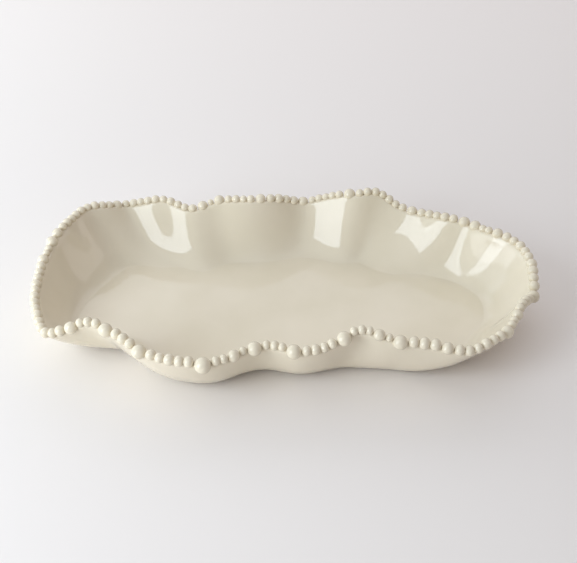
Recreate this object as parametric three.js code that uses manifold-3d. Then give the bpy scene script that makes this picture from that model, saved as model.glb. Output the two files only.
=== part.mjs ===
// Oblong serving dish in glazed stoneware. The shell is a slab of clay whose wall leans out and is
// folded in and out all the way round, and a strand of hand-rolled clay beads sits on its lip.
// Millimetres, +Z up. The dish stands on z = 0, centred over the origin, with its length along X.
import * as THREE from 'three';
import { mergeVertices } from 'three/addons/utils/BufferGeometryUtils.js';
import Module from 'manifold-3d';

// Shell
const RIM_LENGTH = 400; // oval through the bead centres, before it is folded
const RIM_WIDTH = 228;
const RIM_HEIGHT = 49; // bead centres above the table
const FOOT_LENGTH = 328; // oval where the wall starts to curve up from the table
const FOOT_WIDTH = 154;
const OVAL_SQUARENESS = 2.6; // 2 is an ellipse, more is squarer
const WALL_SWEEP = 1.8; // 1 is a straight slope, more has a rounder lower edge and a steeper top
const CLAY_THICKNESS = 5.5;
const FOOT_HEIGHT = 1.2; // foot ring that holds the underside off the table
const FOOT_INSET = 3.5; // foot ring in from where the wall starts
const FOOT_BAND = 5; // breadth of the foot ring

// Folds of the wall. Each is pressed in at its place round the oval, given in degrees of the oval's
// length, anticlockwise from the right-hand end. Breadth, depth at the rim, depth at the foot and
// lift of the rim are in mm, and a depth below 0 is a lobe drawn outwards.
const FOLDS = [
  { at: 20, breadth: 24, rim: 3, foot: 3, lift: 3.5 },
  { at: 25, breadth: 25.5, rim: 9, foot: -1.5, lift: 0.5 },
  { at: 39, breadth: 22.5, rim: 6, foot: -6.5, lift: 5.5 },
  { at: 44, breadth: 48.5, rim: 8, foot: 19, lift: -6 },
  { at: 62, breadth: 13.5, rim: -2.5, foot: -3.5, lift: 6 },
  { at: 68.5, breadth: 22, rim: 6, foot: 5, lift: 8 },
  { at: 85, breadth: 18, rim: -3, foot: -2, lift: -7 },
  { at: 102.5, breadth: 38.5, rim: 13.5, foot: 6.5, lift: 5.5 },
  { at: 120, breadth: 19.5, rim: 17, foot: -1.5, lift: -8.5 },
  { at: 122.5, breadth: 25, rim: -9.5, foot: 17, lift: 5 },
  { at: 137.5, breadth: 16, rim: -12.5, foot: 4, lift: -6.5 },
  { at: 149, breadth: 24, rim: -12, foot: -10, lift: 4 },
  { at: 161, breadth: 17, rim: -1, foot: -1, lift: 4 },
  { at: 189, breadth: 45.5, rim: 0, foot: -9.5, lift: -4 },
  { at: 199, breadth: 21.5, rim: 6, foot: -10.5, lift: 2 },
  { at: 205.5, breadth: 36.5, rim: -32, foot: 20.5, lift: -19 },
  { at: 211.5, breadth: 47, rim: 32.5, foot: 13.5, lift: 11.5 },
  { at: 214, breadth: 15.5, rim: 3, foot: 1, lift: 6 },
  { at: 255, breadth: 18.5, rim: -2.5, foot: 6.5, lift: -1.5 },
  { at: 264, breadth: 32, rim: 21.5, foot: 17, lift: 2 },
  { at: 280.5, breadth: 24, rim: 11.5, foot: 10, lift: -1 },
  { at: 289.5, breadth: 21.5, rim: 12, foot: 5.5, lift: 9.5 },
  { at: 299.5, breadth: 41.5, rim: 18.5, foot: 15, lift: 2 },
  { at: 317, breadth: 14.5, rim: -2, foot: 3.5, lift: -3.5 },
  { at: 324, breadth: 22.5, rim: 0, foot: 10, lift: 0.5 },
  { at: 343, breadth: 36, rim: 11, foot: 10, lift: -0.5 },
  { at: 352, breadth: 14.5, rim: -3, foot: -1, lift: -7 },
];

// Beads
const SMALL_BEAD = 7.8; // diameters
const MEDIUM_BEAD = 9.2;
const LARGE_BEAD = 10.2;
const BIG_BEAD = 11.2;
const BIGGEST_BEAD = 12.6;
const BEAD_BED = 1.3; // how deep a small bead is pressed onto the lip
const BEAD_HANG = THREE.MathUtils.degToRad(37); // larger beads sit this way below straight out
const BEAD_FUSE = 0.6; // small beads of one run run into each other by this much
const ROLL_SPREAD = 0.05; // small beads differ by this share of their diameter
const ROLL_STEP = 2.4; // radians of the wave that the differences follow, from bead to bead
const SLIP_GAP = 0.4; // thickness of the slip between pieces

// Larger beads by their place round the oval, in degrees of its length. One that is beside
// touches the bead before it, and every other space is filled with a run of small beads.
const ACCENTS = [
  { at: 4, size: MEDIUM_BEAD },
  { at: 21, size: MEDIUM_BEAD },
  { at: 29.7, size: LARGE_BEAD },
  { beside: true, size: LARGE_BEAD },
  { at: 51, size: MEDIUM_BEAD },
  { at: 70.8, size: LARGE_BEAD },
  { at: 85, size: MEDIUM_BEAD },
  { at: 98, size: MEDIUM_BEAD },
  { at: 110.5, size: MEDIUM_BEAD },
  { at: 115.7, size: MEDIUM_BEAD },
  { at: 140.3, size: MEDIUM_BEAD },
  { at: 162.6, size: MEDIUM_BEAD },
  { beside: true, size: LARGE_BEAD },
  { at: 173.3, size: MEDIUM_BEAD },
  { at: 211.2, size: LARGE_BEAD },
  { at: 219.8, size: BIG_BEAD },
  { at: 231.5, size: BIG_BEAD },
  { at: 249, size: BIGGEST_BEAD },
  { at: 256.7, size: MEDIUM_BEAD },
  { at: 261.7, size: BIG_BEAD },
  { at: 272, size: BIG_BEAD },
  { at: 285.2, size: BIG_BEAD },
  { at: 294.8, size: MEDIUM_BEAD },
  { at: 300.2, size: BIG_BEAD },
  { at: 311.8, size: MEDIUM_BEAD },
  { at: 331, size: LARGE_BEAD },
  { at: 339.2, size: MEDIUM_BEAD },
  { at: 352, size: LARGE_BEAD },
];

// Fineness of the faceted shapes
const STATIONS = 152; // round the shell
const WALL_RINGS = 5; // up each side of the wall
const LIP_STEPS = 3; // over the half round of the lip
const SMALL_SIDES = 8; // round a small bead
const SMALL_STEPS = 4; // from pole to pole of a small bead
const ACCENT_SIDES = 8;
const ACCENT_STEPS = 4;
const OVAL_DIVISIONS = 1440; // for measuring lengths along an oval
const RUN_DIVISIONS = 40; // for measuring the space of a run of beads
const HALVINGS = 24; // of a search for a bead's place or size

// Finish
const IVORY_GLAZE = '#dcd5c8';
const BEAD_GLAZE = '#e0dacd';
const GLAZE_ROUGHNESS = 0.18;

const wasm = await Module();
wasm.setup();

const FULL_TURN = 360;

// Oval with squared ends, walked anticlockwise from its right-hand end
class Oval extends THREE.Curve {
  constructor(length, width) {
    super();
    this.halfLength = length / 2;
    this.halfWidth = width / 2;
    this.arcLengthDivisions = OVAL_DIVISIONS;
  }

  getPoint(t, target = new THREE.Vector2()) {
    const angle = 2 * Math.PI * t;
    const lengthways = Math.abs(Math.cos(angle)) / this.halfLength;
    const widthways = Math.abs(Math.sin(angle)) / this.halfWidth;
    const reach = (lengthways ** OVAL_SQUARENESS + widthways ** OVAL_SQUARENESS) ** (-1 / OVAL_SQUARENESS);
    return target.set(reach * Math.cos(angle), reach * Math.sin(angle));
  }
}

const rimOval = new Oval(RIM_LENGTH, RIM_WIDTH);
const footOval = new Oval(FOOT_LENGTH, FOOT_WIDTH);
const rimOvalLength = rimOval.getLength();

const folds = FOLDS.map((fold) => {
  const tangent = rimOval.getTangentAt(fold.at / FULL_TURN);
  return { ...fold, inward: new THREE.Vector2(-tangent.y, tangent.x) };
});

const wrapped = (turn) => THREE.MathUtils.euclideanModulo(turn, FULL_TURN);

// Share of a fold's full depth at a place round the oval, 1 at its middle
function foldShare(fold, turn) {
  const away = wrapped(turn - fold.at + FULL_TURN / 2) - FULL_TURN / 2;
  const distance = (away / FULL_TURN) * rimOvalLength;
  return Math.exp(-((distance / fold.breadth) ** 2));
}

const floorMiddle = FOOT_HEIGHT + CLAY_THICKNESS / 2;

// Point of the slab's middle surface, from share 0 at the foot to share 1 at the bead centres
function wallPoint(turn, share) {
  const rim = rimOval.getPointAt(wrapped(turn) / FULL_TURN);
  const foot = footOval.getPointAt(wrapped(turn) / FULL_TURN);
  let height = RIM_HEIGHT;
  for (const fold of folds) {
    const pressed = foldShare(fold, turn);
    rim.addScaledVector(fold.inward, fold.rim * pressed);
    foot.addScaledVector(fold.inward, fold.foot * pressed);
    height += fold.lift * pressed;
  }
  const plan = foot.lerp(rim, share);
  return new THREE.Vector3(plan.x, plan.y, floorMiddle + (height - floorMiddle) * share ** WALL_SWEEP);
}

// Place on the middle surface with its directions, along the wall, up the wall and out of the dish,
// and how far the wall climbs per share
function wallFrame(turn, share) {
  const turnStep = 0.02;
  const shareStep = 0.0002;
  const point = wallPoint(turn, share);
  const along = wallPoint(turn + turnStep, share).sub(wallPoint(turn - turnStep, share)).normalize();
  const up = wallPoint(turn, share + shareStep).sub(wallPoint(turn, Math.max(share - shareStep, 0)));
  const climb = up.length() / (share > 0 ? 2 * shareStep : shareStep);
  up.normalize();
  const out = new THREE.Vector3().crossVectors(along, up).normalize();
  return { point, along, up, out, climb };
}

const lipRadius = CLAY_THICKNESS / 2;
const lipBelowBeads = SMALL_BEAD / 2 - BEAD_BED + lipRadius; // from bead centres to the lip's own centre

// Share of the wall at the middle of the lip's half round
function lipShare(turn) {
  return 1 - lipBelowBeads / wallFrame(turn, 1).climb;
}

function ring(placePoint) {
  return Array.from({ length: STATIONS }, (_, station) => placePoint((station / STATIONS) * FULL_TURN));
}

// Ring on the outside of the wall with side 1, or on its inside with side -1
function wallRing(step, side) {
  return ring((turn) => {
    const { point, out } = wallFrame(turn, lipShare(turn) * (step / WALL_RINGS));
    return point.addScaledVector(out, side * lipRadius);
  });
}

function lipRing(step) {
  const angle = (Math.PI * step) / LIP_STEPS;
  return ring((turn) => {
    const { point, out, up } = wallFrame(turn, lipShare(turn));
    point.addScaledVector(out, lipRadius * Math.cos(angle));
    return point.addScaledVector(up, lipRadius * Math.sin(angle));
  });
}

// Closed skin over rings of points. With caps the first and last ring close on middle points,
// and without caps the last ring joins the first.
function skin(rings, caps) {
  const points = rings.flat();
  const sides = rings[0].length;
  const triangles = [];
  const corner = (row, side) => (row % rings.length) * sides + (side % sides);
  const bands = caps ? rings.length - 1 : rings.length;
  for (let side = 0; side < sides; side += 1) {
    for (let row = 0; row < bands; row += 1) {
      const lower = [corner(row, side), corner(row, side + 1)];
      const upper = [corner(row + 1, side), corner(row + 1, side + 1)];
      triangles.push(lower[0], lower[1], upper[1], lower[0], upper[1], upper[0]);
    }
    if (caps) {
      triangles.push(corner(0, side + 1), corner(0, side), points.length);
      triangles.push(corner(bands, side), corner(bands, side + 1), points.length + 1);
    }
  }
  const geometry = new THREE.BufferGeometry();
  geometry.setFromPoints(caps ? [...points, ...caps] : points);
  geometry.setIndex(triangles);
  return geometry;
}

function shellGeometry() {
  const footEdge = (inset, height) => ring((turn) => {
    const { point, along } = wallFrame(turn, 0);
    return new THREE.Vector3(point.x - along.y * inset, point.y + along.x * inset, height);
  });
  const bandEnd = FOOT_INSET + FOOT_BAND;
  const rings = [footEdge(bandEnd, FOOT_HEIGHT), footEdge(bandEnd, 0)];
  rings.push(footEdge(FOOT_INSET, 0), footEdge(FOOT_INSET, FOOT_HEIGHT));
  for (let step = 0; step <= WALL_RINGS; step += 1) rings.push(wallRing(step, 1));
  for (let step = 1; step < LIP_STEPS; step += 1) rings.push(lipRing(step));
  for (let step = WALL_RINGS; step >= 0; step -= 1) rings.push(wallRing(step, -1));
  const floorTop = FOOT_HEIGHT + CLAY_THICKNESS;
  return skin(rings, [new THREE.Vector3(0, 0, FOOT_HEIGHT), new THREE.Vector3(0, 0, floorTop)]);
}

// Square-topped band round the top of the wall, with the slip included: the beads are bedded on it
function lipBedGeometry() {
  const half = lipRadius + SLIP_GAP;
  const corner = (side, height) => ring((turn) => {
    const { point, out, up } = wallFrame(turn, lipShare(turn));
    return point.addScaledVector(out, side * half).addScaledVector(up, height);
  });
  const bottom = -BIGGEST_BEAD;
  return skin([corner(1, bottom), corner(1, half), corner(-1, half), corner(-1, bottom)], null);
}

function solidOf(geometry) {
  const bare = geometry.clone();
  bare.deleteAttribute('normal');
  bare.deleteAttribute('uv');
  const merged = mergeVertices(bare);
  const vertProperties = new Float32Array(merged.attributes.position.array);
  const triVerts = new Uint32Array(merged.index.array);
  return new wasm.Manifold(new wasm.Mesh({ numProp: 3, vertProperties, triVerts }));
}

function geometryOf(solid) {
  const mesh = solid.getMesh();
  const geometry = new THREE.BufferGeometry();
  geometry.setAttribute('position', new THREE.BufferAttribute(mesh.vertProperties, 3));
  geometry.setIndex(new THREE.BufferAttribute(mesh.triVerts, 1));
  return geometry;
}

// Centre of a bead: small ones on the line over the lip, larger ones moved out and down from it,
// so that the inner shoulders of all of them stay in line
function beadCentre(turn, diameter) {
  if (diameter <= SMALL_BEAD) return wallPoint(turn, 1);
  const { point, up, out } = wallFrame(turn, 1);
  const moved = (diameter - SMALL_BEAD) / 2;
  point.addScaledVector(out, moved * Math.cos(BEAD_HANG));
  return point.addScaledVector(up, -moved * Math.sin(BEAD_HANG));
}

// Turn past a start at which a bead's centre is a distance away from another centre
function turnAtDistance(startTurn, centre, distance, diameter) {
  let near = startTurn;
  let far = startTurn + (2 * FULL_TURN * distance) / rimOvalLength;
  for (let halving = 0; halving < HALVINGS; halving += 1) {
    const middle = (near + far) / 2;
    if (beadCentre(middle, diameter).distanceTo(centre) < distance) near = middle;
    else far = middle;
  }
  return far;
}

function accentBeads() {
  const beads = [];
  for (const { at, beside, size } of ACCENTS) {
    const before = beads.at(-1);
    const turn = beside
      ? turnAtDistance(before.turn, before.centre, (before.diameter + size) / 2 + SLIP_GAP, size)
      : at;
    beads.push({ turn, diameter: size, beside, centre: beadCentre(turn, size) });
  }
  return beads;
}

// Small beads strung from one accent bead towards the next, and the space left after the last one
function stringBeads(from, to, count, diameter) {
  const beads = [];
  let before = from;
  for (let number = 0; number < count; number += 1) {
    const rolled = diameter * (1 + ROLL_SPREAD * Math.sin(ROLL_STEP * (number + from.turn)));
    const contact = before === from ? SLIP_GAP : -BEAD_FUSE;
    const distance = (before.diameter + rolled) / 2 + contact;
    const turn = turnAtDistance(before.turn, before.centre, distance, SMALL_BEAD);
    before = { turn, diameter: rolled, centre: beadCentre(turn, SMALL_BEAD) };
    beads.push(before);
  }
  const past = before.turn >= to.turn;
  const space = to.centre.distanceTo(before.centre) * (past ? -1 : 1);
  return { beads, left: space - (before.diameter + to.diameter) / 2 - SLIP_GAP };
}

// Run of small beads that fills the space between two accent beads
function beadRun(from, to) {
  let length = 0;
  const turnStep = (to.turn - from.turn) / RUN_DIVISIONS;
  for (let step = 0; step < RUN_DIVISIONS; step += 1) {
    const start = wallPoint(from.turn + turnStep * step, 1);
    length += start.distanceTo(wallPoint(from.turn + turnStep * (step + 1), 1));
  }
  const space = length - (from.diameter + to.diameter) / 2;
  const count = Math.max(1, Math.round(space / (SMALL_BEAD - BEAD_FUSE)));
  let thin = SMALL_BEAD / 2;
  let thick = SMALL_BEAD * 2;
  for (let halving = 0; halving < HALVINGS; halving += 1) {
    const middle = (thin + thick) / 2;
    if (stringBeads(from, to, count, middle).left > 0) thin = middle;
    else thick = middle;
  }
  return stringBeads(from, to, count, thin).beads;
}

// One bead, or beads that run into each other, as one skin of rings round the strand,
// pressed flat at the seat's depth under the bead centres
function beadsGeometry(beads, sides, steps, seatDepth) {
  const rings = [];
  const addRing = (turn, centre, radius) => {
    const { along, out } = wallFrame(turn, 1);
    const rise = new THREE.Vector3().crossVectors(out, along);
    rings.push(Array.from({ length: sides }, (_, side) => {
      const angle = (2 * Math.PI * side) / sides;
      const height = Math.max(radius * Math.cos(angle), -seatDepth);
      const point = centre.clone().addScaledVector(rise, height);
      return point.addScaledVector(out, radius * Math.sin(angle));
    }));
  };
  const alongBead = ({ turn, centre }, distance) => {
    return centre.clone().addScaledVector(wallFrame(turn, 1).along, distance);
  };
  beads.forEach((bead, index) => {
    const radius = bead.diameter / 2;
    const before = beads[index - 1];
    if (before) {
      const neckAt = radius - BEAD_FUSE / 2;
      const towards = neckAt / bead.centre.distanceTo(before.centre);
      const neckRadius = Math.sqrt(radius ** 2 - neckAt ** 2);
      addRing((before.turn + bead.turn) / 2, bead.centre.clone().lerp(before.centre, towards), neckRadius);
    }
    for (let step = 1; step < steps; step += 1) {
      const angle = (Math.PI * step) / steps;
      addRing(bead.turn, alongBead(bead, -radius * Math.cos(angle)), radius * Math.sin(angle));
    }
  });
  const first = beads[0];
  const last = beads.at(-1);
  return skin(rings, [alongBead(first, -first.diameter / 2), alongBead(last, last.diameter / 2)]);
}

const dish = new THREE.Group();

function addPiece(name, geometry, color) {
  const material = new THREE.MeshStandardMaterial({ color, roughness: GLAZE_ROUGHNESS, metalness: 0 });
  const mesh = new THREE.Mesh(geometry, material);
  mesh.name = name;
  dish.add(mesh);
}

addPiece('dish_shell', shellGeometry(), IVORY_GLAZE);

const lipBed = solidOf(lipBedGeometry());
const smallSeat = SMALL_BEAD / 2 - BEAD_BED - SLIP_GAP;
const accents = accentBeads();
accents.forEach((accent, index) => {
  const number = String(index + 1).padStart(2, '0');
  const ball = solidOf(beadsGeometry([accent], ACCENT_SIDES, ACCENT_STEPS, accent.diameter));
  addPiece(`accent_bead_${number}`, geometryOf(ball.subtract(lipBed)), BEAD_GLAZE);
  const next = accents[(index + 1) % accents.length];
  if (next.beside) return;
  const to = next.turn > accent.turn ? next : { ...next, turn: next.turn + FULL_TURN };
  const run = beadsGeometry(beadRun(accent, to), SMALL_SIDES, SMALL_STEPS, smallSeat);
  addPiece(`bead_run_${number}`, run, BEAD_GLAZE);
});

// The folds aren't alike on both sides, so the finished dish is centred by its own extents
const extents = new THREE.Box3().setFromObject(dish);
const middle = extents.getCenter(new THREE.Vector3());
dish.position.set(-middle.x, -middle.y, 0);

export default dish;
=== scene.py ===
import math

import bpy
import numpy as np
from mathutils import Matrix, Vector


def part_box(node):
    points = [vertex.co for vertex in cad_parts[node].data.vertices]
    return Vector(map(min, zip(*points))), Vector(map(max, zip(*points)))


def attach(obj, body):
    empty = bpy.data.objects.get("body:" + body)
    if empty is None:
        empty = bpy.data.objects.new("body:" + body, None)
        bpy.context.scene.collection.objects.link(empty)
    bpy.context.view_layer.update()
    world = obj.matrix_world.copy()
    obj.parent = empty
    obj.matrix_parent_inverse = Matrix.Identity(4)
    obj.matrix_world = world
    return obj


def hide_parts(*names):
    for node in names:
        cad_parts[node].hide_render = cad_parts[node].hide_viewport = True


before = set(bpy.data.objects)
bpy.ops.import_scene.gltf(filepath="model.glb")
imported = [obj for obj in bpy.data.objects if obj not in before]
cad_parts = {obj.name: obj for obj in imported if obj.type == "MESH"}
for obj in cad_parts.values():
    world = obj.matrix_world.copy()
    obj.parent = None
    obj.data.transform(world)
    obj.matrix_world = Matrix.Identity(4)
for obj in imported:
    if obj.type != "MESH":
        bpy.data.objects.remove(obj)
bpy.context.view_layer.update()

# Ivory glazed serving dish: a slab of stoneware whose leaning wall is folded in and out all the way
# round, with a strand of hand-rolled beads on its lip. Metres, +Z up, in the frame of the solids.
MM = 0.001

# Shell, with the sizes that the solids have
RIM_LENGTH = 400 * MM
RIM_WIDTH = 228 * MM
RIM_HEIGHT = 49 * MM
FOOT_LENGTH = 328 * MM
FOOT_WIDTH = 154 * MM
OVAL_SQUARENESS = 2.6
WALL_SWEEP = 1.8
CLAY_THICKNESS = 5.5 * MM
FOOT_HEIGHT = 1.2 * MM
FOOT_INSET = 3.5 * MM
FOOT_BAND = 5 * MM
LIP_RADIUS = CLAY_THICKNESS / 2
FLOOR_MIDDLE = FOOT_HEIGHT + CLAY_THICKNESS / 2

# Folds round the oval: place in degrees of its length, anticlockwise from the right-hand end, then
# breadth, depth at the rim, depth at the foot and lift of the rim in mm
FOLDS = [
    (20, 24, 3, 3, 3.5),
    (25, 25.5, 9, -1.5, 0.5),
    (39, 22.5, 6, -6.5, 5.5),
    (44, 48.5, 8, 19, -6),
    (62, 13.5, -2.5, -3.5, 6),
    (68.5, 22, 6, 5, 8),
    (85, 18, -3, -2, -7),
    (102.5, 38.5, 13.5, 6.5, 5.5),
    (120, 19.5, 17, -1.5, -8.5),
    (122.5, 25, -9.5, 17, 5),
    (137.5, 16, -12.5, 4, -6.5),
    (149, 24, -12, -10, 4),
    (161, 17, -1, -1, 4),
    (189, 45.5, 0, -9.5, -4),
    (199, 21.5, 6, -10.5, 2),
    (205.5, 36.5, -32, 20.5, -19),
    (211.5, 47, 32.5, 13.5, 11.5),
    (214, 15.5, 3, 1, 6),
    (255, 18.5, -2.5, 6.5, -1.5),
    (264, 32, 21.5, 17, 2),
    (280.5, 24, 11.5, 10, -1),
    (289.5, 21.5, 12, 5.5, 9.5),
    (299.5, 41.5, 18.5, 15, 2),
    (317, 14.5, -2, 3.5, -3.5),
    (324, 22.5, 0, 10, 0.5),
    (343, 36, 11, 10, -0.5),
    (352, 14.5, -3, -1, -7),
]

# Beads
SMALL_BEAD = 7.8 * MM
MEDIUM_BEAD = 9.2 * MM
LARGE_BEAD = 10.2 * MM
BIG_BEAD = 11.2 * MM
BIGGEST_BEAD = 12.6 * MM
BEAD_HANG = math.radians(37)
BEAD_FUSE = 0.6 * MM
ROLL_SPREAD = 0.05
ROLL_STEP = 2.4
SLIP_GAP = 0.4 * MM

# Larger beads: place round the oval, or None for one that touches the bead before it, and size
ACCENTS = [
    (4, MEDIUM_BEAD),
    (21, MEDIUM_BEAD),
    (29.7, LARGE_BEAD),
    (None, LARGE_BEAD),
    (51, MEDIUM_BEAD),
    (70.8, LARGE_BEAD),
    (85, MEDIUM_BEAD),
    (98, MEDIUM_BEAD),
    (110.5, MEDIUM_BEAD),
    (115.7, MEDIUM_BEAD),
    (140.3, MEDIUM_BEAD),
    (162.6, MEDIUM_BEAD),
    (None, LARGE_BEAD),
    (173.3, MEDIUM_BEAD),
    (211.2, LARGE_BEAD),
    (219.8, BIG_BEAD),
    (231.5, BIG_BEAD),
    (249, BIGGEST_BEAD),
    (256.7, MEDIUM_BEAD),
    (261.7, BIG_BEAD),
    (272, BIG_BEAD),
    (285.2, BIG_BEAD),
    (294.8, MEDIUM_BEAD),
    (300.2, BIG_BEAD),
    (311.8, MEDIUM_BEAD),
    (331, LARGE_BEAD),
    (339.2, MEDIUM_BEAD),
    (352, LARGE_BEAD),
]

# Fineness of the meshes
STATIONS = 880
FLOOR_RINGS = 18
WALL_RINGS = 34
FOOT_FINENESS = 1.5  # 1 spaces the wall's rings evenly, more sets them closer at the foot
LIP_STEPS = 10
BEAD_SIDES = 24
BEAD_STEPS = 14
OVAL_DIVISIONS = 7200
STRAND_DIVISIONS = 36000
HALVINGS = 24

# Rings of the underside, as shares of the way out to the foot ring
UNDERSIDE_SHARES = (0.25, 0.5, 0.75, 0.93)

# Softened edge of the foot ring: distance away from the ring, times the softness, and height, as a share
# of the foot's height
FOOT_SOFTNESS = 0.5 * MM
FOOT_EDGE = [(1, 1), (0.25, 0.75), (-0.25, 0.2), (-1, 0)]

# Hand-rolled beads aren't quite round. Those of a row are smaller at the back and pressed broader
# across the row at the front. Glaze fills the necks between them and the seat under them.
ROLL_UNEVEN = 0.025
SWELL_RANGE = (0.4, 1.0)  # least and greatest share of the unevenness in one bead
BACK_SIZE = 0.98
FRONT_SQUEEZE = 1.12
NECK_RADIUS = 1.6 * MM
NECK_PINCH = 0.94  # middle of a neck against its ends
GLAZED_LIP_BELOW_BEADS = 4.4 * MM
FIRST_SEED = {"accent_bead": 11, "bead_run": 8}  # for the unevenness of each kind

# Photograph's view, in its 577 by 563 pixels
IMAGE_WIDTH = 577
FOCAL_PIXELS = 1100
CAMERA_PITCH = math.radians(37)
CAMERA_PLACE = Vector((1.6, -713.3, 576.1)) * MM
SENSOR_WIDTH = 36

FULL_TURN = 360
BESIDE_REACH = 0.03 * FULL_TURN  # further round than the breadth of two larger beads


# Shape of the wall

def oval_points(length, width, turns):
    """Points of the squared oval at turns, which are degrees of its length."""
    angle = np.linspace(0, 2 * np.pi, OVAL_DIVISIONS + 1)
    lengthways = np.abs(np.cos(angle)) / (length / 2)
    widthways = np.abs(np.sin(angle)) / (width / 2)
    reach = (lengthways**OVAL_SQUARENESS + widthways**OVAL_SQUARENESS) ** (-1 / OVAL_SQUARENESS)
    points = np.stack([reach * np.cos(angle), reach * np.sin(angle)], axis=-1)
    walked = np.concatenate([[0], np.cumsum(np.linalg.norm(np.diff(points, axis=0), axis=1))])
    place = np.mod(turns, FULL_TURN) / FULL_TURN * walked[-1]
    found = np.stack([np.interp(place, walked, points[:, axis]) for axis in (0, 1)], axis=-1)
    return found, walked[-1]


def inward_direction(turn):
    step = 0.1
    (before, after), _ = oval_points(RIM_LENGTH, RIM_WIDTH, np.array([turn - step, turn + step]))
    tangent = (after - before) / np.linalg.norm(after - before)
    return np.array([-tangent[1], tangent[0]])


FOLD_DIRECTIONS = [inward_direction(fold[0]) for fold in FOLDS]


def wall_points(turns, shares):
    """Middle surface of the slab, from share 0 at the foot to share 1 at the bead centres."""
    turns, shares = np.broadcast_arrays(np.asarray(turns, float), np.asarray(shares, float))
    rim, rim_oval_length = oval_points(RIM_LENGTH, RIM_WIDTH, turns)
    foot, _ = oval_points(FOOT_LENGTH, FOOT_WIDTH, turns)
    height = np.full(turns.shape, RIM_HEIGHT)
    half_turn = FULL_TURN / 2
    for (at, breadth, rim_depth, foot_depth, lift), inward in zip(FOLDS, FOLD_DIRECTIONS):
        away = np.mod(turns - at + half_turn, FULL_TURN) - half_turn
        distance = away / FULL_TURN * rim_oval_length
        pressed = np.exp(-((distance / (breadth * MM)) ** 2))
        rim = rim + pressed[..., None] * inward * rim_depth * MM
        foot = foot + pressed[..., None] * inward * foot_depth * MM
        height = height + pressed * lift * MM
    plan = foot + (rim - foot) * shares[..., None]
    rise = FLOOR_MIDDLE + (height - FLOOR_MIDDLE) * shares**WALL_SWEEP
    return np.concatenate([plan, rise[..., None]], axis=-1)


def unit(vectors):
    return vectors / np.linalg.norm(vectors, axis=-1, keepdims=True)


def wall_frames(turns, shares):
    """Places on the middle surface with their directions along, up and out, and the climb per share."""
    turn_step = 0.02
    share_step = 0.0002
    turns, shares = np.broadcast_arrays(np.asarray(turns, float), np.asarray(shares, float))
    along = unit(wall_points(turns + turn_step, shares) - wall_points(turns - turn_step, shares))
    lower = np.maximum(shares - share_step, 0)
    up = wall_points(turns, shares + share_step) - wall_points(turns, lower)
    climb = np.linalg.norm(up, axis=-1) / (shares + share_step - lower)
    up = unit(up)
    out = unit(np.cross(along, up))
    return wall_points(turns, shares), along, up, out, climb


def lip_shares(turns):
    """Shares at which the wall ends and its round lip begins."""
    *_, climb = wall_frames(turns, 1.0)
    return 1 - GLAZED_LIP_BELOW_BEADS / climb


# Meshes

def mesh_object(name, points, faces, face_slots=None):
    mesh = bpy.data.meshes.new(name)
    mesh.from_pydata(points.tolist(), [], faces)
    mesh.polygons.foreach_set("use_smooth", [True] * len(mesh.polygons))
    if face_slots is not None:
        mesh.polygons.foreach_set("material_index", face_slots)
    made = bpy.data.objects.new(name, mesh)
    bpy.context.scene.collection.objects.link(made)
    return made


def ring_faces(ring_count, sides):
    """Quads between neighbouring rings, then fans to the two middle points after the rings."""
    faces = []
    for row in range(ring_count - 1):
        for side in range(sides):
            after = (side + 1) % sides
            faces.append((row * sides + side, row * sides + after,
                          (row + 1) * sides + after, (row + 1) * sides + side))
    first_middle = ring_count * sides
    last_row = (ring_count - 1) * sides
    for side in range(sides):
        after = (side + 1) % sides
        faces.append((after, side, first_middle))
        faces.append((last_row + side, last_row + after, first_middle + 1))
    return faces


def shell_rings():
    """Rings from the underside's middle, up the outside, over the lip and down to the floor's middle."""
    turns = np.arange(STATIONS) / STATIONS * FULL_TURN
    foot, foot_along, *_ = wall_frames(turns, 0.0)
    inward = np.stack([-foot_along[:, 1], foot_along[:, 0], np.zeros(STATIONS)], axis=-1)

    def underside(inset, height):
        ring = foot + inward * inset
        ring[:, 2] = height
        return ring

    inner_edge = FOOT_INSET + FOOT_BAND
    rings = [underside(inner_edge + FOOT_SOFTNESS, FOOT_HEIGHT) * np.array([share, share, 1])
             for share in UNDERSIDE_SHARES]
    band = [(inner_edge + away * FOOT_SOFTNESS, share) for away, share in FOOT_EDGE]
    band += [(FOOT_INSET - away * FOOT_SOFTNESS, share) for away, share in reversed(FOOT_EDGE)]
    rings += [underside(inset, FOOT_HEIGHT * share) for inset, share in band]
    unglazed = (len(rings) - len(band), len(rings) - 1)
    lip = lip_shares(turns)

    def wall_ring(step, side):
        place, _, _, out, _ = wall_frames(turns, lip * (step / WALL_RINGS) ** FOOT_FINENESS)
        return place + out * side * LIP_RADIUS

    rings += [wall_ring(step, 1) for step in range(WALL_RINGS + 1)]
    place, _, up, out, _ = wall_frames(turns, lip)
    for step in range(1, LIP_STEPS):
        angle = math.pi * step / LIP_STEPS
        rings.append(place + (out * math.cos(angle) + up * math.sin(angle)) * LIP_RADIUS)
    rings += [wall_ring(step, -1) for step in range(WALL_RINGS, -1, -1)]
    floor_edge = rings[-1]
    for step in range(FLOOR_RINGS - 1, 0, -1):
        share = step / FLOOR_RINGS
        rings.append(floor_edge * np.array([share, share, 1]))
    return np.array(rings), unglazed


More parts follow.
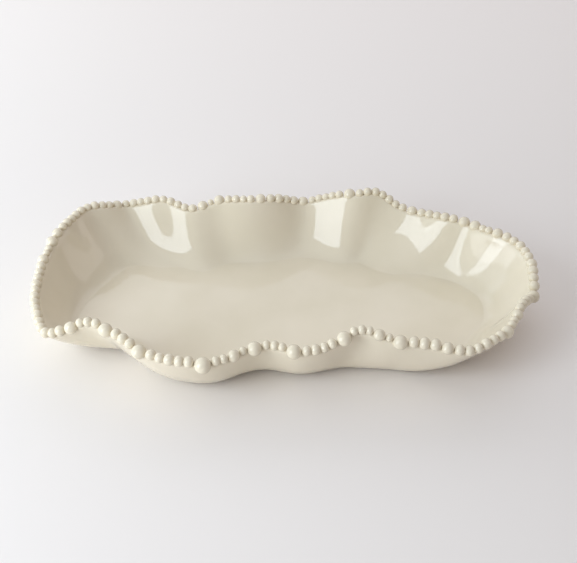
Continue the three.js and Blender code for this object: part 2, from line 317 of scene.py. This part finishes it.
def make_shell():
    """Glazed shell, and the shift in plan that puts it over the solids."""
    rings, unglazed = shell_rings()
    middles = np.array([[0, 0, FOOT_HEIGHT], [0, 0, FOOT_HEIGHT + CLAY_THICKNESS]])
    points = np.concatenate([rings.reshape(-1, 3), middles])
    low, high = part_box("dish_shell")
    middle = (np.array(low) + np.array(high)) / 2
    shift = middle - (points.min(axis=0) + points.max(axis=0)) / 2
    shift[2] = 0
    faces = ring_faces(len(rings), STATIONS)
    first_unglazed, last_unglazed = (row * STATIONS for row in unglazed)
    slots = [1 if first_unglazed <= number < last_unglazed else 0 for number in range(len(faces))]
    shell = mesh_object("dish_shell_glazed", points + shift, faces, slots)
    return shell, shift


class Strand:
    """Line over the lip that carries the beads, and the beads' places on it.

    The line starts before turn 0 and ends after a full turn, so that a row can cross the start.
    """

    def __init__(self):
        divisions = np.arange(-STRAND_DIVISIONS // 8, STRAND_DIVISIONS * 5 // 4)
        self.turns = divisions / STRAND_DIVISIONS * FULL_TURN
        self.line = wall_points(self.turns, 1.0)

    def on_line(self, turn):
        return np.array([np.interp(turn, self.turns, self.line[:, axis]) for axis in range(3)])

    def larger_centre(self, turn, diameter):
        """Centre of a larger bead, which hangs further out over the lip than a small one."""
        place, _, up, out, _ = wall_frames(turn, 1.0)
        moved = (diameter - SMALL_BEAD) / 2
        return place + out * moved * math.cos(BEAD_HANG) - up * moved * math.sin(BEAD_HANG)

    def turn_at_distance(self, start, centre, distance):
        """First place past the start where a small bead's centre is that far from another centre."""
        near = np.searchsorted(self.turns, start)
        window = int(distance / RIM_LENGTH * STRAND_DIVISIONS)
        away = np.linalg.norm(self.line[near:near + window] - centre, axis=1)
        past = int(np.argmax(away >= distance))
        if not past:
            return start
        before, after = away[past - 1], away[past]
        share = (distance - before) / (after - before)
        return self.turns[near + past - 1] + share * FULL_TURN / STRAND_DIVISIONS

    def accents(self):
        beads = []
        for at, size in ACCENTS:
            turn = at
            if at is None:
                turn = self.turn_beside(beads[-1], size)
            beads.append({"turn": turn, "diameter": size, "centre": self.larger_centre(turn, size),
                          "beside": at is None})
        return beads

    def turn_beside(self, before, size):
        """Place of a larger bead that touches the larger bead before it."""
        distance = (before["diameter"] + size) / 2 + SLIP_GAP
        near, far = before["turn"], before["turn"] + BESIDE_REACH
        for _ in range(HALVINGS):
            middle = (near + far) / 2
            away = np.linalg.norm(self.larger_centre(middle, size) - before["centre"])
            near, far = (middle, far) if away < distance else (near, middle)
        return far

    def string(self, start, end, count, diameter):
        """Small beads from one larger bead towards the next, and the space left after the last one."""
        beads = []
        before = start
        for number in range(count):
            rolled = diameter * (1 + ROLL_SPREAD * math.sin(ROLL_STEP * (number + start["turn"])))
            contact = SLIP_GAP if before is start else -BEAD_FUSE
            distance = (before["diameter"] + rolled) / 2 + contact
            turn = self.turn_at_distance(before["turn"], before["centre"], distance)
            before = {"turn": turn, "diameter": rolled, "centre": self.on_line(turn)}
            beads.append(before)
        space = np.linalg.norm(end["centre"] - before["centre"])
        if before["turn"] >= end["turn"]:
            space = -space
        return beads, space - (before["diameter"] + end["diameter"]) / 2 - SLIP_GAP

    def run(self, start, end):
        """Row of small beads that fills the space between two larger ones."""
        inside = (self.turns >= start["turn"]) & (self.turns <= end["turn"])
        length = np.linalg.norm(np.diff(self.line[inside], axis=0), axis=1).sum()
        space = length - (start["diameter"] + end["diameter"]) / 2
        count = max(1, round(space / (SMALL_BEAD - BEAD_FUSE)))
        thin, thick = SMALL_BEAD / 2, SMALL_BEAD * 2
        for _ in range(HALVINGS):
            middle = (thin + thick) / 2
            left = self.string(start, end, count, middle)[1]
            thin, thick = (middle, thick) if left > 0 else (thin, middle)
        return self.string(start, end, count, thin)[0]


def strand_directions(turn):
    """Directions along the strand, up from it and out over the lip."""
    _, along, _, out, _ = wall_frames(turn, 1.0)
    return along, np.cross(out, along), out


def ring_round(centre, across, sides, rise, out):
    return centre + np.outer(across * np.cos(sides), rise) + np.outer(across * np.sin(sides), out)


def bead_skin(name, beads, single, shift, seed):
    """Single bead, or beads in a row, as one skin of rings round the strand with glaze in the necks."""
    draw = np.random.default_rng(seed)
    sides = np.arange(BEAD_SIDES) / BEAD_SIDES * 2 * np.pi
    end_angle = math.pi / (2 * BEAD_STEPS)
    rings = []
    poles = []
    for number, bead in enumerate(beads):
        frontness = (1 - math.sin(math.radians(bead["turn"]))) / 2
        radius = bead["diameter"] / 2 * (1 if single else BACK_SIZE + (1 - BACK_SIZE) * frontness)
        squeeze = 1 if single else 1 + (FRONT_SQUEEZE - 1) * frontness
        along, rise, out = strand_directions(bead["turn"])
        phase = draw.uniform(0, 2 * np.pi, 3)
        swell = draw.uniform(*SWELL_RANGE, 3) * ROLL_UNEVEN
        has_neck = (number > 0, number < len(beads) - 1)
        neck_angle = math.asin(NECK_RADIUS / radius)
        first = neck_angle if has_neck[0] else end_angle
        last = math.pi - (neck_angle if has_neck[1] else end_angle)
        for angle in np.linspace(first, last, BEAD_STEPS):
            belly = math.sin(angle)
            waves = swell[0] * np.sin(sides + phase[0]) + swell[1] * np.sin(2 * sides + phase[1])
            uneven = 1 + belly * waves + belly * swell[2] * math.sin(2 * angle + phase[2])
            centre = bead["centre"] - along * radius * math.cos(angle)
            rings.append(ring_round(centre, radius * squeeze * belly * uneven, sides, rise, out))
        if not has_neck[0]:
            poles.append(bead["centre"] - along * radius)
        if not has_neck[1]:
            poles.append(bead["centre"] + along * radius)
        if has_neck[1]:
            after = beads[number + 1]
            _, rise, out = strand_directions((bead["turn"] + after["turn"]) / 2)
            onward = after["centre"] - bead["centre"]
            reach = (bead["diameter"] - BEAD_FUSE) / 2 / np.linalg.norm(onward)
            neck = bead["centre"] + onward * reach
            rings.append(ring_round(neck, NECK_RADIUS * NECK_PINCH, sides, rise, out))
    points = np.concatenate([np.array(rings).reshape(-1, 3), np.array(poles)])
    return mesh_object(name, points + shift, ring_faces(len(rings), BEAD_SIDES))


# Materials

def linear(hex_colour):
    """Linear colour of an sRGB hex value."""
    parts = [int(hex_colour[place:place + 2], 16) / 255 for place in (1, 3, 5)]
    return [p / 12.92 if p <= 0.04045 else ((p + 0.055) / 1.055) ** 2.4 for p in parts] + [1]


def tinted(strength, colour):
    """Light of a strength in a hex colour, as three linear channels."""
    return [strength * channel for channel in linear(colour)[:3]]


def add_node(tree, kind, links=None, inputs=None, **settings):
    """Adds a node with its settings, its constant inputs and the outputs that feed its other inputs."""
    made = tree.nodes.new(kind)
    for name, value in settings.items():
        setattr(made, name, value)
    for name, value in (inputs or {}).items():
        made.inputs[name].default_value = value
    for name, output in (links or {}).items():
        tree.links.new(output, made.inputs[name])
    return made


def new_material(name):
    material = bpy.data.materials.new(name)
    material.use_nodes = True
    material.node_tree.nodes.clear()
    return material, material.node_tree


def per_metre(millimetres):
    """Texture scale whose features are about this far apart."""
    return 1 / (millimetres * MM)


def glazed_stoneware(name, thin_glaze, thick_glaze):
    """Stoneware dipped in an ivory glaze and fired: a clear, wet gloss over a faintly cloudy cream body."""
    material, tree = new_material(name)
    place = add_node(tree, "ShaderNodeTexCoord").outputs["Object"]
    cloud = add_node(tree, "ShaderNodeTexNoise", {"Vector": place},
                     {"Scale": per_metre(55), "Detail": 3.0, "Roughness": 0.5})
    tint = add_node(tree, "ShaderNodeValToRGB", {"Fac": cloud.outputs["Fac"]})
    tint.color_ramp.elements[0].position = 0.35
    tint.color_ramp.elements[1].position = 0.7
    tint.color_ramp.elements[0].color = linear(thin_glaze)
    tint.color_ramp.elements[1].color = linear(thick_glaze)
    ripple = add_node(tree, "ShaderNodeTexNoise", {"Vector": place},
                      {"Scale": per_metre(14), "Detail": 1.0, "Roughness": 0.4})
    bump = add_node(tree, "ShaderNodeBump", {"Height": ripple.outputs["Fac"]},
                    {"Strength": 0.05, "Distance": 1.0 * MM})
    body = add_node(tree, "ShaderNodeBsdfPrincipled",
                    {"Base Color": tint.outputs["Color"], "Normal": bump.outputs["Normal"]},
                    {"Roughness": 0.06, "IOR": 1.45})
    add_node(tree, "ShaderNodeOutputMaterial", {"Surface": body.outputs["BSDF"]})
    return material


def bare_stoneware():
    """Fired clay where the glaze was wiped off the foot: matt, sandy and a little darker than the glaze."""
    material, tree = new_material("bare_stoneware")
    place = add_node(tree, "ShaderNodeTexCoord").outputs["Object"]
    grit = add_node(tree, "ShaderNodeTexNoise", {"Vector": place},
                    {"Scale": per_metre(1.6), "Detail": 4.0, "Roughness": 0.7})
    tint = add_node(tree, "ShaderNodeValToRGB", {"Fac": grit.outputs["Fac"]})
    tint.color_ramp.elements[0].color = linear("#b6a588")
    tint.color_ramp.elements[1].color = linear("#d6c8ae")
    bump = add_node(tree, "ShaderNodeBump", {"Height": grit.outputs["Fac"]},
                    {"Strength": 0.35, "Distance": 0.3 * MM})
    body = add_node(tree, "ShaderNodeBsdfPrincipled",
                    {"Base Color": tint.outputs["Color"], "Normal": bump.outputs["Normal"]},
                    {"Roughness": 0.8, "IOR": 1.5})
    add_node(tree, "ShaderNodeOutputMaterial", {"Surface": body.outputs["BSDF"]})
    return material


def studio_table():
    """Pale, matt tabletop: soft and even, with hardly any gloss."""
    material, tree = new_material("studio_table")
    body = add_node(tree, "ShaderNodeBsdfPrincipled", None,
                    {"Base Color": linear("#f1ece8"), "Roughness": 0.7, "Specular IOR Level": 0.2})
    add_node(tree, "ShaderNodeOutputMaterial", {"Surface": body.outputs["BSDF"]})
    return material


# Pieces

shell_glaze = glazed_stoneware("ivory_glazed_stoneware", "#e2d8c1", "#e8dec9")
bead_glaze = glazed_stoneware("ivory_glazed_beads", "#e2d8c1", "#e9dfc9")

shell, shift = make_shell()
shell.data.materials.append(shell_glaze)
shell.data.materials.append(bare_stoneware())
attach(shell, "root")
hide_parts("dish_shell")


def add_beads(kind, number, beads):
    node_name = f"{kind}_{number:02d}"
    single = kind == "accent_bead"
    piece = bead_skin(f"{node_name}_glazed", beads, single, shift, FIRST_SEED[kind] + number)
    piece.data.materials.append(bead_glaze)
    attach(piece, "root")
    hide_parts(node_name)


strand = Strand()
accents = strand.accents()
for index, accent in enumerate(accents):
    add_beads("accent_bead", index + 1, [accent])
    after = dict(accents[(index + 1) % len(accents)])
    if after["beside"]:
        continue
    if after["turn"] < accent["turn"]:
        after["turn"] += FULL_TURN
    add_beads("bead_run", index + 1, strand.run(accent, after))


# Stage, light and camera

TABLE_REACH = 6.0

# Daylight from windows and pale walls: azimuth and elevation in degrees, distance, breadth and height in
# metres, radiance and colour
LIGHTS = [
    ("window", -50, 24.5, 1.3, (0.53, 1.13), 6.15, "#e9f4ff"),
    ("wall_left", -95, 20, 0.9, (1.2, 0.6), 0.886, "#e7f7ff"),
    ("sill_left", -70, 7, 1.05, (1.4, 0.22), 2.2, "#f9faff"),
    ("wall_back_left", -135, 25, 1.0, (1.0, 0.7), 0.53, "#effaff"),
    ("window_far", 108, 16, 3.0, (0.54, 1.5), 1.2, "#fff9f4"),
    ("wall_back", 180, 38, 1.2, (1.6, 0.8), 0.818, "#faf8ff"),
]

# Soft light of the room: the same from all sides, and what comes mostly from one way, with its strength
# and its colour. A higher power keeps the latter closer to its way.
ROOM = (0.12, "#fff8f5")
SKY = [
    ((0, 0, 1), 0.66, "#fafcff"),
    ((1, 0, 0), 0.24, "#ffe6e2"),
]
SKY_POWER = 2.0


def add_object(name, data, place, rotation):
    made = bpy.data.objects.new(name, data)
    made.matrix_world = Matrix.Translation(place) @ rotation.to_matrix().to_4x4()
    bpy.context.scene.collection.objects.link(made)
    return made


def area_light(name, azimuth, elevation, distance, size, radiance, colour):
    """Soft rectangle of light at an azimuth from the camera's side: below 0 is left, above is right."""
    a, e = math.radians(azimuth), math.radians(elevation)
    towards = Vector((math.sin(a) * math.cos(e), -math.cos(a) * math.cos(e), math.sin(e)))
    light = bpy.data.lights.new(name, "AREA")
    light.shape = "RECTANGLE"
    light.size, light.size_y = size
    light.energy = radiance * math.pi * size[0] * size[1]
    light.color = linear(colour)[:3]
    add_object(name, light, towards * distance, towards.to_track_quat("Z", "Y"))


for light in LIGHTS:
    area_light(*light)

corners = np.array([(-1, -1, 0), (1, -1, 0), (1, 1, 0), (-1, 1, 0)]) * TABLE_REACH
floor = mesh_object("table", corners, [(0, 1, 2, 3)])
floor.data.materials.append(studio_table())

world = bpy.data.worlds.new("studio")
bpy.context.scene.world = world
world.use_nodes = True
tree = world.node_tree
tree.nodes.clear()
towards_sky = add_node(tree, "ShaderNodeTexCoord").outputs["Generated"]
sky_light = None
for side, strength, colour in SKY:
    facing = add_node(tree, "ShaderNodeVectorMath", {0: towards_sky}, {1: side}, operation="DOT_PRODUCT")
    above = add_node(tree, "ShaderNodeMath", {0: facing.outputs["Value"]}, {1: 0.0}, operation="MAXIMUM")
    soft = add_node(tree, "ShaderNodeMath", {0: above.outputs[0]}, {1: SKY_POWER}, operation="POWER")
    links = {0: soft.outputs[0]}
    if sky_light:
        links[2] = sky_light
    lobe = add_node(tree, "ShaderNodeVectorMath", links,
                    {1: tinted(strength, colour), 2: tinted(*ROOM)}, operation="MULTIPLY_ADD")
    sky_light = lobe.outputs[0]
sky = add_node(tree, "ShaderNodeBackground", {"Color": sky_light})
add_node(tree, "ShaderNodeOutputWorld", {"Surface": sky.outputs["Background"]})

camera_data = bpy.data.cameras.new("camera")
camera_data.sensor_width = SENSOR_WIDTH
camera_data.lens = FOCAL_PIXELS / IMAGE_WIDTH * SENSOR_WIDTH
looking = Vector((0, math.cos(CAMERA_PITCH), -math.sin(CAMERA_PITCH)))
camera = add_object("camera", camera_data, CAMERA_PLACE, looking.to_track_quat("-Z", "Y"))
bpy.context.scene.camera = camera
bpy.context.scene.view_settings.view_transform = "Standard"
